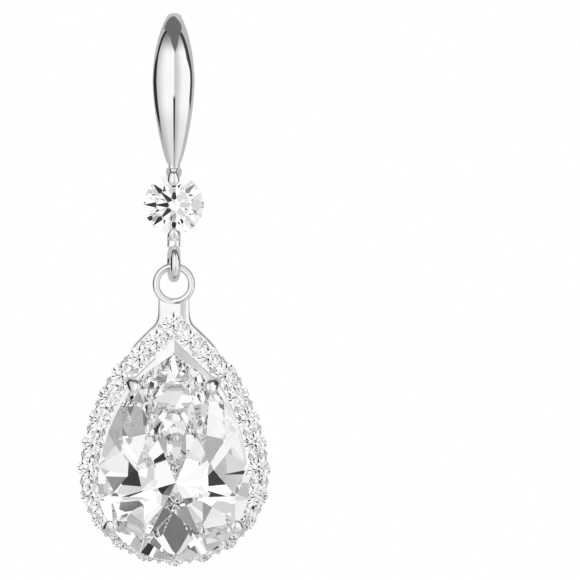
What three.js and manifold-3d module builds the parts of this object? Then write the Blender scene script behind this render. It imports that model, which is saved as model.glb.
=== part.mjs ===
// Teardrop drop earring in millimetres. +Z is up, -Y is the front that shows
// and +X is the right-hand side seen from the front. The origin is the point
// where the earring hangs: the underside of the ear wire at the crown of its
// arch. The hook is one soldered piece that holds the round stone and ends in
// a loop, and the pendant hangs in that loop by its eyelet.

import * as THREE from 'three';
import { mergeVertices } from 'three/addons/utils/BufferGeometryUtils.js';
import Module from 'manifold-3d';

const wasm = await Module();
wasm.setup();

// Gaps that keep the separate pieces clear of each other
const stoneGap = 0.06;
const linkGap = 0.17;

// Ear hook: a domed leaf in front, the wire over the arch, the leg behind
const wireDiameter = 0.8;
const leafLength = 13.28; // from the top of the arch to the tip of the leaf
const leafWidth = 3.6;
const leafDome = 1.05; // from the spine of the leaf to its swollen front
const leafForward = 3.4; // spine of the leaf ahead of the crown
const leafPoint = 0.28; // small point of the leaf that laps over the strap below
const leafHandles = { tipShare: 0.3, bellyShare: 0.36 }; // how long the leaf stays straight at each end
const archRise = 5.0; // from the widest part of the arch up to its crown
const archTaper = 2.6; // behind the crown, where the leaf thins to plain wire
const hangForward = 2.0; // collar, round stone, loop and pendant before the crown
const legReach = 4.6; // ear wire behind the crown
const legLength = 13.4;
const legKick = 0.8; // how far the end of the leg bends out
const legHandleShare = 0.4; // share of the leg that each end keeps straight

// Collar, cradle and loop under the leaf
const collarWidth = 0.9;
const collarHeight = 0.7;
const strapWidth = 1.34; // where the upper claw bends over behind the stone
const upperClawWidth = 1.08;
const upperClawReach = 0.95; // how far the claw folds in over the stone
const lowerClawWidth = 0.7;
const lowerClawReach = 0.58;
const cradleWidth = 1.15;
const cradleThickness = 0.6;
const cradleBend = { frontShare: 0.75, sideShare: 1.1 }; // stand-off round the girdle, next to its reach
const cradleTouch = [0.75, 0.4]; // where it runs along the pavilion, as shares of the radius
const seatRingRadius = 1.75;
const bossWidth = 1.15;
const bossHeight = 0.8; // from the round stone down to the top of the loop
const loopDiameter = 3.3;
const loopWire = 0.91;
const loopTurn = 8; // degrees that the loop is turned from edge-on

// Stones: diameters, and the pear's own length, width and heights
const roundStoneDiameter = 5.2;
const haloStoneDiameter = 2.0;
const pearLength = 17.9;
const pearWidth = 13.0;
const pearCrown = 2.14;
const pearGirdle = 0.34;
const pearPavilion = 5.36;
const culetAside = 0.15; // culet to the right of the pear's middle
const tableRise = 2.45; // middle of the table above the pear's widest line

// Pendant metal
const pendantTilt = 7.1; // degrees that it leans so that its weight hangs plumb
const eyeletHole = 2.45;
const eyeletBand = 0.62;
const eyeletDepth = 0.7;
const neckLength = 3.1; // from the eyelet's hole down to the first halo stone
const neckWidth = 2.7;
const neckSpread = 3.0; // how far the neck reaches down along the halo's shoulders
const haloWidth = 14.7; // across the line that the halo stones sit on
const haloLength = 20.2;
const haloGap = 0.02; // least space between two halo stones
const haloSpread = 0.09; // how much the spacing opens from the tip downward
const railWidth = 1.9;
const railDepth = 1.22;
const railBack = 0.6; // rail behind the middle plane of the pendant
const railBevel = 0.23;
const girdleAboveRail = 0.28;
const seatHole = 0.55; // hole behind a halo stone, as a share of its radius
const beadRadius = 0.17;
const beadOffset = 0.68; // bead prongs from the line of the halo stones
const beadHeight = 0.25; // above the halo stones' girdles
const pearRise = 2.3; // pear's girdle in front of the halo stones' girdles
const pearOverhang = 0.05; // pear's bottom below the line of the halo stones
const wallThickness = 0.5;
const wallLedge = 0.455; // how far inside the pear's edge its seat begins
const seatSteepness = 1.18; // next to a straight line from the girdle to the culet
const shelfRise = 0.12; // slope of the shelf between the halo and the pear's edge
const shelfDrop = 0.84; // how much its outer edge sinks along the halo's shoulders
const shelfDropStart = 0.45; // shares of the way up from the widest line to the halo's tip
const shelfDropEnd = 0.68;
const clawRadius = 0.36;
const clawTip = 0.62; // half the width of a claw's flattened end
const clawReach = 0.6;
const clawAside = 1.05; // stand-off from the pear's girdle, next to the claw's reach
const claws = [ // places down each half of the pear's outline, and stand-off over the crown
  { share: 0.18, lift: 1.5 },
  { share: 0.73, lift: 1.0 },
];
const backRingShare = 0.45; // size of the ring at the back, next to the pear's
const backRingRadius = 0.35;

// How finely round forms are faceted
const wireSides = 12;
const sweepSteps = 44;
const tubeSides = 8;
const ringSteps = 24;
const clawSides = 6;
const clawSteps = 10;
const cradleSteps = 26;
const halfOutlineSteps = 24;
const pearHalfSteps = 28;
const beadSides = 6;
const seatSides = 12;

// Leaf sections from the crown (0) down to the tip (1): width as a share of
// leafWidth, and swell as the share of the way from plain wire to leafDome
const leafSections = [
  { down: 0.0, wide: 0.36, swell: 0.0 },
  { down: 0.04, wide: 0.48, swell: 0.1 },
  { down: 0.1, wide: 0.64, swell: 0.32 },
  { down: 0.18, wide: 0.79, swell: 0.6 },
  { down: 0.26, wide: 0.905, swell: 0.82 },
  { down: 0.36, wide: 0.98, swell: 0.96 },
  { down: 0.46, wide: 1.0, swell: 1.0 },
  { down: 0.62, wide: 0.91, swell: 0.88 },
  { down: 0.78, wide: 0.72, swell: 0.62 },
  { down: 0.9, wide: 0.52, swell: 0.36 },
  { down: 0.975, wide: 0.35, swell: 0.16 },
  { down: 0.992, wide: 0.27, swell: 0.12 },
  { down: 1.022, wide: 0.03, swell: 0.1 },
];

// Neck sections from the halo's shoulders (0) up to the eyelet (1): width as a
// share of neckWidth, and depth of each face as a share of railBack
const neckSections = [
  { down: 0.0, wide: 3.04, front: 1.0 },
  { down: 0.2, wide: 2.5, front: 1.0 },
  { down: 0.4, wide: 1.71, front: 1.0 },
  { down: 0.48, wide: 1.36, front: 1.0 },
  { down: 0.53, wide: 1.19, front: 0.97 },
  { down: 0.63, wide: 1.04, front: 0.8 },
  { down: 0.74, wide: 1.0, front: 0.6 },
  { down: 1.0, wide: 0.98, front: 0.43 },
];
const neckPower = 0.55; // squareness of its section: 1 is round, less is squarer

// Cradle from the upper claw's end (0) to the lower claw's end (1): width, and
// thickness of its outer half as a share of half of cradleThickness
const cradleSections = [
  { down: 0.0, wide: upperClawWidth, thick: 1.0 },
  { down: 0.04, wide: upperClawWidth, thick: 1.35 },
  { down: 0.08, wide: upperClawWidth, thick: 1.7 },
  { down: 0.125, wide: strapWidth, thick: 1.0 },
  { down: 0.2, wide: strapWidth, thick: 0.9 },
  { down: 0.3, wide: upperClawWidth, thick: 1.0 },
  { down: 0.5, wide: upperClawWidth, thick: 1.0 },
  { down: 0.82, wide: cradleWidth, thick: 1.0 },
  { down: 0.92, wide: cradleWidth, thick: 1.0 },
  { down: 1.0, wide: lowerClawWidth, thick: 1.0 },
];

// Pear outlines, as shares of their length: how far the tip is above the widest
// line and the bottom below it, the straight shoulder and its angle from
// upright at the tip, and the handles of the curved flank under the shoulder
const haloShape = {
  topShare: 0.657,
  bottomShare: 0.343,
  shoulderShare: 0.303,
  tipAngle: 45.4,
  turnShare: 0.043,
  flankShare: 0.2,
};
const pearShape = {
  topShare: 0.636,
  bottomShare: 0.364,
  shoulderShare: 0.178,
  tipAngle: 56,
  turnShare: 0.048,
  flankShare: 0.263,
};

// Brilliant cut of the round stones, as shares of the diameter
const cut = { table: 0.56, crown: 0.15, girdle: 0.03, pavilion: 0.43 };
const cutMains = 8;
const lowerFacetReach = 0.25; // where lower facets meet, as a share of the radius

// Pear brilliant: mains round the outline, and shares of its heights
const pearMains = 8;
const pearTable = 0.49;
const starShare = 0.43;
const lowerShare = 0.445;

const quarterHandle = 0.5523; // makes a cubic curve follow a quarter ellipse
const cleanEnd = 0.35; // least share of a section left at a rounded end
const big = 4 * pearLength;

const silver = new THREE.MeshStandardMaterial({ color: 0xd6d8db, roughness: 0.12, metalness: 1 });
const crystal = new THREE.MeshStandardMaterial({ color: 0xf2f5f8, roughness: 0.03, metalness: 0 });

const radians = THREE.MathUtils.degToRad;
const lerp = THREE.MathUtils.lerp;

// Smooth reading of one column of a table of sections
function readTable(rows, column, at) {
  const last = rows.length - 1;
  let i = 0;
  while (i < last - 1 && rows[i + 1].down < at) i += 1;
  const slope = (j) => {
    const a = rows[Math.max(j - 1, 0)];
    const b = rows[Math.min(j + 1, last)];
    return (b[column] - a[column]) / (b.down - a.down);
  };
  const span = rows[i + 1].down - rows[i].down;
  const t = THREE.MathUtils.clamp((at - rows[i].down) / span, 0, 1);
  const start = rows[i][column] * (1 + 2 * t) * (1 - t) ** 2;
  const end = rows[i + 1][column] * t * t * (3 - 2 * t);
  const leave = slope(i) * span * t * (1 - t) ** 2;
  const arrive = slope(i + 1) * span * t * t * (t - 1);
  return start + end + leave + arrive;
}

// Closed mesh over rings of points. The ends are capped, or joined if closed.
function skin(rings, closed = false) {
  const sides = rings[0].length;
  const points = rings.flat();
  const index = [];
  const count = closed ? rings.length : rings.length - 1;
  for (let i = 0; i < count; i += 1) {
    const near = i * sides;
    const far = ((i + 1) % rings.length) * sides;
    for (let k = 0; k < sides; k += 1) {
      const next = (k + 1) % sides;
      index.push(near + k, near + next, far + next, near + k, far + next, far + k);
    }
  }
  if (!closed) {
    const lastRing = (rings.length - 1) * sides;
    for (const [ring, base, flip] of [[rings[0], 0, true], [rings.at(-1), lastRing, false]]) {
      const middle = new THREE.Vector3();
      ring.forEach((point) => middle.addScaledVector(point, 1 / sides));
      const centre = points.push(middle) - 1;
      for (let k = 0; k < sides; k += 1) {
        const next = base + ((k + 1) % sides);
        index.push(centre, flip ? next : base + k, flip ? base + k : next);
      }
    }
  }
  return outward(new THREE.BufferGeometry().setFromPoints(points).setIndex(index));
}

// The same mesh with its faces pointing out
function outward(geometry) {
  const corner = [0, 1, 2].map(() => new THREE.Vector3());
  const index = geometry.index.array;
  let volume = 0;
  for (let i = 0; i < index.length; i += 3) {
    corner.forEach((v, j) => v.fromBufferAttribute(geometry.attributes.position, index[i + j]));
    volume += corner[0].dot(corner[1].cross(corner[2]));
  }
  if (volume < 0) {
    for (let i = 0; i < index.length; i += 3) {
      [index[i + 1], index[i + 2]] = [index[i + 2], index[i + 1]];
    }
  }
  return geometry;
}

function solid(geometry) {
  const bare = new THREE.BufferGeometry();
  bare.setAttribute('position', geometry.attributes.position);
  bare.setIndex(geometry.index);
  const merged = mergeVertices(bare, 1e-4);
  return new wasm.Manifold(new wasm.Mesh({
    numProp: 3,
    vertProperties: Float32Array.from(merged.attributes.position.array),
    triVerts: Uint32Array.from(merged.index.array),
  }));
}

function geometryOf(shape) {
  const mesh = shape.getMesh();
  const geometry = new THREE.BufferGeometry();
  geometry.setAttribute('position', new THREE.BufferAttribute(mesh.vertProperties, 3));
  geometry.setIndex(new THREE.BufferAttribute(mesh.triVerts, 1));
  return geometry;
}

function join(geometries) {
  return geometries.map(solid).reduce((whole, piece) => whole.add(piece));
}

function named(name, geometry, material) {
  const mesh = new THREE.Mesh(geometry, material);
  mesh.name = name;
  return mesh;
}

const evenShares = (steps) => Array.from({ length: steps + 1 }, (_, i) => i / steps);

// Points of a unit section: round with a power of 1, squarer below it
function around(sides, power = 1) {
  return Array.from({ length: sides }, (_, k) => {
    const turn = (2 * Math.PI * k) / sides;
    return [Math.cos(turn), Math.sin(turn)].map((v) => Math.sign(v) * Math.abs(v) ** power);
  });
}

// Solid swept along a path in the YZ plane, with its width along X. sizeAt
// gives half the width and the thickness on the path's left and right.
function sweep(path, shares, sides, sizeAt, power = 1) {
  const section = around(sides, power);
  return skin(shares.map((u) => {
    const point = path.getPointAt(u);
    const along = path.getTangentAt(u);
    const { half, left, right } = sizeAt(u, point);
    return section.map(([across, deep]) => {
      const rise = deep * (deep > 0 ? left : right);
      return new THREE.Vector3(half * across, point.y - along.z * rise, point.z + along.y * rise);
    });
  }));
}

// Share of its section that a rod keeps at a distance from its round end
function roundEnd(distance, radius) {
  if (distance >= radius) return 1;
  return Math.max(cleanEnd, Math.sqrt(1 - (1 - distance / radius) ** 2));
}

const side = (y, z) => new THREE.Vector3(0, y, z);

// Heights down the hook, worked out from the crown
const crownSpine = wireDiameter / 2;
const leafTip = wireDiameter - leafLength;
const collarBottom = leafTip - collarHeight;
const roundRadius = roundStoneDiameter / 2;
const roundCentre = collarBottom - stoneGap - roundRadius;
const loopTop = roundCentre - roundRadius - bossHeight;
const pivotHeight = loopTop - loopDiameter + loopWire / 2;

// Spine of the hook: up the leaf, over the arch and down the leg
function hookSpine() {
  const belly = crownSpine - archRise;
  const leafRun = belly - leafTip;
  const legEnd = crownSpine - legLength;
  const legRun = belly - legEnd;
  const rise = archRise * quarterHandle;
  const spine = new THREE.CurvePath();
  spine.add(new THREE.LineCurve3(
    side(-hangForward - leafPoint / 2, leafTip - leafPoint),
    side(-hangForward, leafTip),
  ));
  spine.add(new THREE.CubicBezierCurve3(
    side(-hangForward, leafTip),
    side(-lerp(hangForward, leafForward, leafHandles.tipShare), leafTip + leafRun * leafHandles.tipShare),
    side(-leafForward, belly - leafRun * leafHandles.bellyShare),
    side(-leafForward, belly),
  ));
  spine.add(new THREE.CubicBezierCurve3(
    side(-leafForward, belly),
    side(-leafForward, belly + rise),
    side(-leafForward * quarterHandle, crownSpine),
    side(0, crownSpine),
  ));
  spine.add(new THREE.CubicBezierCurve3(
    side(0, crownSpine),
    side(legReach * quarterHandle, crownSpine),
    side(legReach, belly + rise),
    side(legReach, belly),
  ));
  spine.add(new THREE.CubicBezierCurve3(
    side(legReach, belly),
    side(legReach, belly - legRun * legHandleShare),
    side(legReach, legEnd + legRun * legHandleShare),
    side(legReach + legKick, legEnd),
  ));
  return spine;
}

function leafAndWire() {
  const wire = wireDiameter / 2;
  const spine = hookSpine();
  const length = spine.getLength();
  const tip = [0, 0.5, 1].map((share) => (share * leafPoint) / length);
  return sweep(spine, [...tip, ...evenShares(sweepSteps).slice(1)], wireSides, (u, point) => {
    const down = (crownSpine - point.z) / (crownSpine - leafTip);
    const leaf = {
      half: (leafWidth / 2) * readTable(leafSections, 'wide', point.y < 0 ? down : 0),
      left: lerp(wire, leafDome, readTable(leafSections, 'swell', point.y < 0 ? down : 0)),
    };
    const thin = THREE.MathUtils.smoothstep(point.y, 0, archTaper);
    const end = roundEnd((1 - u) * length, wire);
    return {
      half: lerp(leaf.half, wire, thin) * end,
      left: lerp(leaf.left, wire, thin) * end,
      right: wire * end,
    };
  });
}

// Short upright post
function post(width, top, bottom) {
  const cylinder = new THREE.CylinderGeometry(width / 2, width / 2, top - bottom, wireSides);
  return cylinder.rotateX(Math.PI / 2).translate(0, -hangForward, (top + bottom) / 2);
}

// Height of a round brilliant's crown at a radius, above its girdle plane
function crownHeight(diameter, radius) {
  const run = (diameter / 2) * (1 - cut.table);
  const rise = diameter * cut.crown;
  const climb = Math.min((diameter / 2 - radius) / run, 1);
  return (cut.girdle * diameter) / 2 + rise * climb;
}

// Bar that runs behind the round stone, hugs its pavilion and folds over its
// girdle at the top and the bottom as two claws
function cradle() {
  const reach = cradleThickness / 2 + stoneGap;
  const halfGirdle = (cut.girdle * roundStoneDiameter) / 2;
  const pavilion = cut.pavilion * roundStoneDiameter;
  const slope = Math.atan2(pavilion, roundRadius);
  const keel = halfGirdle + pavilion + reach / Math.cos(slope);
  const fold = (clawInset) => [
    [roundRadius - clawInset, -crownHeight(roundStoneDiameter, roundRadius - clawInset) - reach],
    [roundRadius + reach * cradleBend.frontShare, -halfGirdle - reach],
    [roundRadius + reach * cradleBend.sideShare, halfGirdle],
    ...cradleTouch.map((share) => [
      roundRadius * share + reach * Math.sin(slope),
      halfGirdle + pavilion * (1 - share) + reach * Math.cos(slope),
    ]),
  ];
  const upper = fold(upperClawReach).map(([r, d]) => side(-hangForward + d, roundCentre + r));
  const lower = fold(lowerClawReach).map(([r, d]) => side(-hangForward + d, roundCentre - r));
  const points = [...upper, side(-hangForward + keel, roundCentre), ...lower.reverse()];
  const path = new THREE.CatmullRomCurve3(points);
  const length = path.getLength();
  return sweep(path, evenShares(cradleSteps), tubeSides, (u) => {
    const half = readTable(cradleSections, 'wide', u) / 2;
    const end = roundEnd(Math.min(u, 1 - u) * length, upperClawWidth / 2);
    const thick = (cradleThickness / 2) * end;
    return { half: half * end, left: thick * readTable(cradleSections, 'thick', u), right: thick };
  });
}

// Ring behind the round stone that its pavilion sits in
function seatRing() {
  const wire = cradleThickness / 2;
  const pavilion = cut.pavilion * roundStoneDiameter;
  const slope = Math.atan2(pavilion, roundRadius);
  const depth = (cut.girdle * roundStoneDiameter) / 2
    + (roundRadius - seatRingRadius) * Math.tan(slope)
    + (wire + stoneGap) / Math.cos(slope);
  const ring = new THREE.TorusGeometry(seatRingRadius, wire, clawSides, ringSteps);
  return ring.rotateX(Math.PI / 2).translate(0, depth - hangForward, roundCentre);
}

function hangingLoop() {
  const radius = (loopDiameter - loopWire) / 2;
  const ring = new THREE.TorusGeometry(radius, loopWire / 2, tubeSides, ringSteps);
  ring.rotateY(Math.PI / 2).rotateZ(radians(loopTurn));
  return ring.translate(0, -hangForward, loopTop - loopDiameter / 2);
}

function earHook() {
  const bossTop = roundCentre - roundRadius - stoneGap - cradleThickness / 4;
  return geometryOf(join([
    leafAndWire(),
    post(collarWidth, leafTip + collarHeight / 4, collarBottom),
    cradle(),
    seatRing(),
    post(bossWidth, bossTop, loopTop - loopWire / 4),
    hangingLoop(),
  ]));
}

// Round brilliant with its table towards +Z and its girdle on Z = 0
function roundBrilliant(diameter) {
  const radius = diameter / 2;
  const halfGirdle = (cut.girdle * diameter) / 2;
  const crown = cut.crown * diameter;
  const pavilion = cut.pavilion * diameter;
  const mains = Math.round(cutMains);
  const step = Math.PI / mains;
  const tableRadius = cut.table * radius;
  const midRadius = (tableRadius * Math.cos(step) + radius) / 2;
  const midClimb = (radius - midRadius * Math.cos(step)) / (radius - tableRadius);
  const lowerRadius = lowerFacetReach * radius;
  const lowerDrop = 1 - (lowerRadius * Math.cos(step)) / radius;
  const points = [];
  const ring = (count, r, first, z) => {
    const start = points.length;
    for (let i = 0; i < count; i += 1) {
      const turn = first + (2 * Math.PI * i) / count;
      points.push(new THREE.Vector3(r * Math.cos(turn), r * Math.sin(turn), z));
    }
    return (i) => start + (i % count);
  };
  const table = ring(mains, tableRadius, 0, halfGirdle + crown);
  const mid = ring(mains, midRadius, step, halfGirdle + crown * midClimb);
  const above = ring(2 * mains, radius, 0, halfGirdle);
  const below = ring(2 * mains, radius, 0, -halfGirdle);
  const lower = ring(mains, lowerRadius, step, -halfGirdle - pavilion * lowerDrop);
  const culet = points.push(new THREE.Vector3(0, 0, -halfGirdle - pavilion)) - 1;
  const faces = [];
  for (let k = 0; k < mains; k += 1) {
    const before = (k + mains - 1) % mains;
    const g = [2 * k, 2 * k + 1, 2 * k + 2];
    if (k > 0 && k < mains - 1) faces.push([table(0), table(k), table(k + 1)]);
    faces.push([table(k), mid(k), table(k + 1)]);
    faces.push([table(k), mid(before), above(g[0])], [table(k), above(g[0]), mid(k)]);
    faces.push([mid(k), above(g[0]), above(g[1])], [mid(k), above(g[1]), above(g[2])]);
    faces.push([lower(k), below(g[1]), below(g[0])], [lower(k), below(g[2]), below(g[1])]);
    faces.push([culet, lower(k), below(g[0])], [culet, below(g[0]), lower(before)]);
    for (const j of [g[0], g[1]]) {
      faces.push([below(j), below(j + 1), above(j + 1)], [below(j), above(j + 1), above(j)]);
    }
  }
  return new THREE.BufferGeometry().setFromPoints(points).setIndex(faces.flat());
}

// Stone turned to face the front, at a place in a plane across the view
function facing(geometry, spin, x, y, z) {
  return geometry.clone().rotateZ(spin).rotateX(Math.PI / 2).translate(x, y, z);
}

// Pear outline of a size, measured from its widest line
function outlineOf(width, length, shape) {
  return {
    half: width / 2,
    top: length * shape.topShare,
    bottom: length * shape.bottomShare,
    shoulder: length * shape.shoulderShare,
    tipAngle: radians(shape.tipAngle),
    turn: length * shape.turnShare,
    flank: length * shape.flankShare,
  };
}

const haloLine = outlineOf(haloWidth, haloLength, haloShape);
const pearLine = outlineOf(pearWidth, pearLength, pearShape);

// Right half of a pear outline, from its tip down to its bottom, moved inward
function pearHalf(line, inset = 0) {
  const { half, top, bottom, shoulder, tipAngle, turn, flank } = line;
  const along = new THREE.Vector2(Math.sin(tipAngle), -Math.cos(tipAngle));
  const inward = new THREE.Vector2(-Math.cos(tipAngle), -Math.sin(tipAngle));
  const tip = new THREE.Vector2(0, top - inset / Math.sin(tipAngle));
  const bend = new THREE.Vector2(0, top).addScaledVector(along, shoulder).addScaledVector(inward, inset);
  const widest = new THREE.Vector2(half - inset, 0);
  const low = bottom - inset;
  const path = new THREE.CurvePath();
  path.add(new THREE.LineCurve(tip, bend));
  path.add(new THREE.CubicBezierCurve(
    bend,
    bend.clone().addScaledVector(along, turn),
    new THREE.Vector2(half - inset, flank),
    widest,
  ));
  path.add(new THREE.CubicBezierCurve(
    widest,
    new THREE.Vector2(half - inset, -low * quarterHandle),
    new THREE.Vector2((half - inset) * quarterHandle, -low),
    new THREE.Vector2(0, -low),
  ));
  return path;
}

// Whole outline as points, down the right side and up the left
function pearPoints(line, inset, halfSteps) {
  const path = pearHalf(line, inset);
  const right = Array.from({ length: halfSteps + 1 }, (_, i) => path.getPointAt(i / halfSteps));
  const left = right.slice(1, -1).reverse().map((p) => new THREE.Vector2(-p.x, p.y));
  return [...right, ...left];
}

// Heights and depths of the pendant, from its pivot in the loop's lower wire.
// Depths are counted forward from the middle plane of the eyelet and neck.
const eyeletCentre = loopWire / 2 + linkGap - eyeletHole / 2;
const haloTip = eyeletCentre - eyeletHole / 2 - neckLength + haloStoneDiameter / 2;
const haloMiddle = haloTip - haloLine.top;
const pearMiddle = haloMiddle - haloLine.bottom - pearOverhang + pearLine.bottom;
const railFront = railDepth - railBack;
const haloGirdle = railFront + girdleAboveRail;
const pearPlane = haloGirdle + pearRise;
const pearUnder = pearPlane - pearGirdle / 2;
const wallInset = haloStoneDiameter / 2 + stoneGap + wallThickness / 2;
const pavilionSlope = (seatSteepness * pearPavilion) / (pearWidth / 2);

// Closed rail that follows a pear outline. Each corner of its section has an
// outline, how far inside it the corner runs, its depth and the outline's height.
// A depth can be a list with one value for each point of the outline.
function pearRail(section, halfSteps) {
  const corners = section.map(({ line, inset, depth, height }) => (
    pearPoints(line, inset, halfSteps).map((p, i) => {
      const deep = Array.isArray(depth) ? depth[i] : depth;
      return new THREE.Vector3(p.x, -deep, p.y + height);
    })
  ));
  return skin(corners[0].map((_, i) => corners.map((corner) => corner[i])), true);
}

function haloRail() {
  const half = railWidth / 2;
  const corner = (inset, depth) => ({ line: haloLine, inset, depth, height: haloMiddle });
  return pearRail([
    corner(-half, -railBack + railBevel),
    corner(-half, railFront),
    corner(half, railFront),
    corner(half, -railBack + railBevel),
    corner(half - railBevel, -railBack),
    corner(railBevel - half, -railBack),
  ], halfOutlineSteps);
}

// Wall inside the halo with a shelf from its outer edge to the pear's, and a
// seat under the pear. Along the shoulders the shelf slopes in and forward.
function galleryWall() {
  const half = wallThickness / 2;
  const knee = haloGirdle + crownHeight(haloStoneDiameter, 0) + stoneGap;
  const seat = (inset) => pearUnder - inset * pavilionSlope - 2 * stoneGap;
  const low = (inset, depth) => ({ line: haloLine, inset, depth, height: haloMiddle });
  const high = (inset, depth) => ({ line: pearLine, inset, depth, height: pearMiddle });
  const ledge = pearPoints(pearLine, wallLedge, halfOutlineSteps);
  const edge = pearPoints(haloLine, wallInset - half, halfOutlineSteps).map((p, i) => {
    const run = Math.abs(p.x) - Math.abs(ledge[i].x);
    const inside = THREE.MathUtils.smoothstep(run, 0, half);
    const up = THREE.MathUtils.smoothstep(p.y / haloLine.top, shelfDropStart, shelfDropEnd);
    return knee - shelfDrop * inside * up;
  });
  return pearRail([
    low(wallInset - half, -railBack),
    low(wallInset - half, edge),
    high(wallLedge, knee + shelfRise),
    high(wallLedge, seat(wallLedge)),
    high(wallLedge + wallThickness, seat(wallLedge + wallThickness)),
    low(wallInset + half, edge.map((depth) => depth - half)),
    low(wallInset + half, -railBack),
  ], halfOutlineSteps);
}

const backRingDepth = pearUnder - pearPavilion - stoneGap;

function backRing() {
  const line = {};
  for (const [key, value] of Object.entries(pearLine)) {
    line[key] = key === 'tipAngle' ? value : value * backRingShare;
  }
  const section = around(clawSides).map(([across, deep]) => ({
    line,
    inset: backRingRadius * across,
    depth: backRingDepth + backRingRadius * (1 + deep),
    height: pearMiddle,
  }));
  return pearRail(section, Math.round(halfOutlineSteps / 2));
}

// Straight round rod between two points
function rod(from, to, radius, sides) {
  const line = to.clone().sub(from);
  const cylinder = new THREE.CylinderGeometry(radius, radius, line.length(), sides);
  const turn = new THREE.Quaternion().setFromUnitVectors(
    new THREE.Vector3(0, 1, 0),
    line.clone().normalize(),
  );
  const middle = from.clone().addScaledVector(line, 0.5);
  return cylinder.applyQuaternion(turn).translate(middle.x, middle.y, middle.z);
}

// Distance along a line, from a point, to where it crosses a closed outline
function crossing(point, direction, outline) {
  let nearest = Infinity;
  outline.forEach((a, i) => {
    const b = outline[(i + 1) % outline.length];
    const edge = b.clone().sub(a);
    const across = direction.cross(edge);
    if (Math.abs(across) < 1e-9) return;
    const offset = a.clone().sub(point);
    const far = offset.cross(edge) / across;
    const share = offset.cross(direction) / across;
    if (share >= 0 && share <= 1 && Math.abs(far) < Math.abs(nearest)) nearest = far;
  });
  return nearest;
}

// Claw that rises from the gallery wall, passes outside the pear's girdle and
// folds over its crown, with the rod that carries it on to the back ring
function pearClaw({ share, lift }, mirror) {
  const path = pearHalf(pearLine);
  const place = path.getPointAt(share);
  const tangent = path.getTangentAt(share);
  const out = new THREE.Vector2(-tangent.y, tangent.x);
  if (out.x < 0) out.negate();
  const wallLine = pearPoints(haloLine, wallInset, 4 * halfOutlineSteps)
    .map((p) => new THREE.Vector2(p.x, p.y + haloMiddle - pearMiddle));
  const foot = crossing(place, out, wallLine);
  const reach = clawRadius + stoneGap;
  const crownSlope = pearCrown / ((pearWidth / 2) * (1 - pearTable));
  const tipDepth = pearPlane + pearGirdle / 2 + clawReach * crownSlope + reach * lift;
  const knee = haloGirdle + crownHeight(haloStoneDiameter, 0);
  const claw = new THREE.CatmullRomCurve3([
    side(foot, -railBack / 2),
    side(foot, knee),
    side(reach * clawAside, pearPlane - pearGirdle),
    side(reach, pearPlane + pearGirdle),
    side(-clawReach, tipDepth),
  ]);
  const length = claw.getLength();
  const shape = sweep(claw, evenShares(clawSteps), clawSides, (u) => {
    const far = (1 - u) * length;
    const swell = 1 - THREE.MathUtils.smoothstep(far, clawTip, 2 * clawTip);
    const end = roundEnd(far, clawTip);
    const thick = clawRadius * end;
    return { half: lerp(clawRadius, clawTip, swell) * end, left: thick, right: thick };
  });
  const flip = mirror ? -1 : 1;
  const outward3 = new THREE.Vector3(flip * out.x, 0, out.y);
  const across = new THREE.Vector3().crossVectors(outward3, new THREE.Vector3(0, -1, 0));
  const frame = new THREE.Matrix4().makeBasis(across, outward3, new THREE.Vector3(0, -1, 0));
  frame.setPosition(flip * place.x, 0, pearMiddle + place.y);
  const start = side(foot, -railBack / 2).applyMatrix4(frame);
  const end = new THREE.Vector3(
    flip * place.x * backRingShare,
    -backRingDepth - backRingRadius,
    pearMiddle + place.y * backRingShare,
  );
  return [shape.applyMatrix4(frame), rod(start, end, clawRadius, clawSides)];
}

function eyelet() {
  const radius = (eyeletHole + eyeletBand) / 2;
  const ring = new THREE.TorusGeometry(radius, eyeletBand / 2, tubeSides, ringSteps);
  ring.rotateX(Math.PI / 2).scale(1, eyeletDepth / eyeletBand, 1);
  return ring.translate(0, 0, eyeletCentre);
}

// Block that keeps the neck's top out of the eyelet's hole
function eyeletCutter() {
  const radius = (eyeletHole + eyeletBand) / 2;
  return new THREE.CylinderGeometry(radius, radius, neckWidth, ringSteps).translate(0, 0, eyeletCentre);
}

// Rounded plate that meets the sides of the eyelet at its top, and at its
// bottom spreads along the two shoulders of the halo
function neck() {
  const top = eyeletCentre - (eyeletHole + eyeletBand) / 4;
  const path = new THREE.LineCurve3(side(0, haloTip - neckSpread), side(0, top));
  return sweep(path, evenShares(clawSteps), wireSides, (u) => {
    const front = railBack * readTable(neckSections, 'front', u);
    return {
      half: (neckWidth / 2) * readTable(neckSections, 'wide', u),
      left: front,
      right: front,
    };
  }, neckPower);
}

// Places of the halo stones down the right half, tip and bottom included, with
// a spacing that opens steadily, and of the bead prongs between them
function haloPlaces() {
  const path = pearHalf(haloLine);
  const length = path.getLength();
  const gaps = Math.floor((length * (1 - haloSpread)) / (haloStoneDiameter + haloGap));
  const at = (i) => {
    const t = i / gaps;
    return t * (1 - haloSpread * (1 - t));
  };
  const place = (i) => {
    const point = path.getPointAt(at(i));
    const tangent = path.getTangentAt(at(i));
    return { x: point.x, z: point.y + haloMiddle, out: new THREE.Vector2(-tangent.y, tangent.x) };
  };
  const stones = Array.from({ length: gaps + 1 }, (_, i) => place(i));
  const beads = Array.from({ length: gaps }, (_, i) => place(i + 0.5));
  return { stones, beads };
}

// The same places with their mirror images, clockwise from the tip
function bothSides(places) {
  const right = places.filter(({ x }) => x > 1e-6);
  const left = right.map(({ x, z, out }) => ({ x: -x, z, out: new THREE.Vector2(-out.x, out.y) }));
  const middle = places.filter(({ x }) => x <= 1e-6);
  if (middle.length === 0) return [...right, ...left.reverse()];
  return [middle[0], ...right, ...middle.slice(1), ...left.reverse()];
}

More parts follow.
